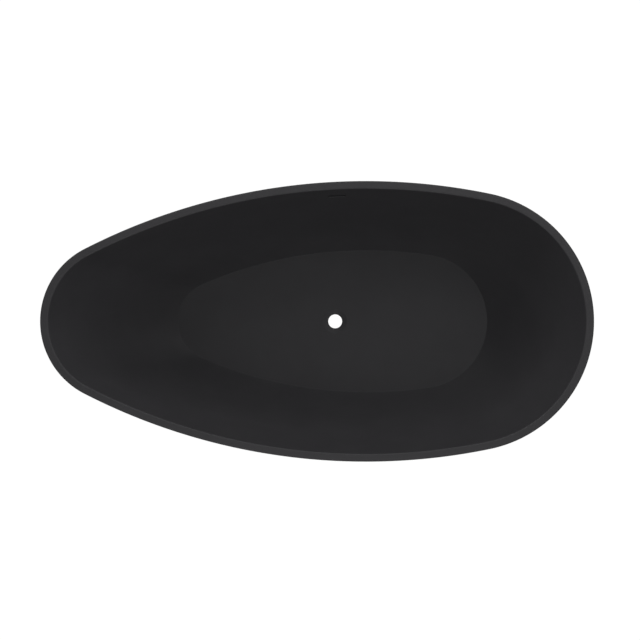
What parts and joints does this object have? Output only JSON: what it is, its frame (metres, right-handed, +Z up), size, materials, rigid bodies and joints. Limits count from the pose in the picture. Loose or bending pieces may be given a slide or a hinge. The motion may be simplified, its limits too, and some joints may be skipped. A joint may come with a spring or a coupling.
{
  "type": "freestanding bathtub",
  "caption": "Freestanding egg-shaped double-walled bathtub with a flat rim, floor drain hole, overflow slot in one side and levelling feet.",
  "frame": {"origin": "on the ground, below the middle of the rim's bounding box", "axes": "+X towards the wide end, +Y towards the side with the overflow slot, +Z up"},
  "size_m": [1.8, 0.912, 0.56],
  "materials": {
    "solid_surface": "matte",
    "adhesive": "matte",
    "plywood": "matte",
    "galvanised_steel": "satin",
    "zinc_plated_steel": "satin",
    "black_rubber": "matte",
    "black_plastic": "satin",
    "grey_plastic": "satin"
  },
  "bodies": {
    "root": {"bowl": "solid_surface", "outer_shell": "solid_surface", "rim_bond": "adhesive", "floor_board": "plywood", "frame_rail_1": "galvanised_steel", "frame_rail_2": "galvanised_steel", "cross_channel_1": "galvanised_steel", "cross_channel_2": "galvanised_steel", "cross_channel_3": "galvanised_steel", "cross_channel_4": "galvanised_steel", "shell_bracket_1": "galvanised_steel", "shell_bracket_2": "galvanised_steel", "shell_bracket_3": "galvanised_steel", "shell_bracket_4": "galvanised_steel", "lock_nut_1": "zinc_plated_steel", "lock_nut_2": "zinc_plated_steel", "lock_nut_3": "zinc_plated_steel", "lock_nut_4": "zinc_plated_steel", "lock_nut_5": "zinc_plated_steel", "weld_nut_1": "zinc_plated_steel", "weld_nut_2": "zinc_plated_steel", "weld_nut_3": "zinc_plated_steel", "weld_nut_4": "zinc_plated_steel", "weld_nut_5": "zinc_plated_steel", "bracket_screw_1": "zinc_plated_steel", "bracket_screw_2": "zinc_plated_steel", "bracket_screw_3": "zinc_plated_steel", "bracket_screw_4": "zinc_plated_steel", "chamber_screw_1": "zinc_plated_steel", "chamber_screw_2": "zinc_plated_steel", "chamber_screw_3": "zinc_plated_steel", "chamber_screw_4": "zinc_plated_steel", "clip_screw": "zinc_plated_steel", "duct_screw_1": "zinc_plated_steel", "duct_screw_2": "zinc_plated_steel", "hose_clamp_1": "zinc_plated_steel", "hose_clamp_2": "zinc_plated_steel", "overflow_seal": "black_rubber", "chamber_gasket": "black_rubber", "overflow_duct": "black_plastic", "overflow_chamber": "black_plastic", "hose_clip": "black_plastic", "rail_cap_1": "black_plastic", "rail_cap_2": "black_plastic", "rail_cap_3": "black_plastic", "rail_cap_4": "black_plastic", "overflow_hose": "grey_plastic"},
    "foot_1": {"foot_pad_1": "black_rubber", "adjuster_stud_1": "zinc_plated_steel"},
    "foot_2": {"foot_pad_2": "black_rubber", "adjuster_stud_2": "zinc_plated_steel"},
    "foot_3": {"foot_pad_3": "black_rubber", "adjuster_stud_3": "zinc_plated_steel"},
    "foot_4": {"foot_pad_4": "black_rubber", "adjuster_stud_4": "zinc_plated_steel"},
    "foot_5": {"foot_pad_5": "black_rubber", "adjuster_stud_5": "zinc_plated_steel"}
  },
  "joints": [
    {"name": "foot_1_height", "type": "slide", "parent": "root", "child": "foot_1", "axis": [0, 0, 1], "range_m": [-0.015, 0.008]},
    {"name": "foot_2_height", "type": "slide", "parent": "root", "child": "foot_2", "axis": [0, 0, 1], "range_m": [-0.015, 0.008]},
    {"name": "foot_3_height", "type": "slide", "parent": "root", "child": "foot_3", "axis": [0, 0, 1], "range_m": [-0.015, 0.008]},
    {"name": "foot_4_height", "type": "slide", "parent": "root", "child": "foot_4", "axis": [0, 0, 1], "range_m": [-0.015, 0.008]},
    {"name": "foot_5_height", "type": "slide", "parent": "root", "child": "foot_5", "axis": [0, 0, 1], "range_m": [-0.015, 0.008]}
  ]
}
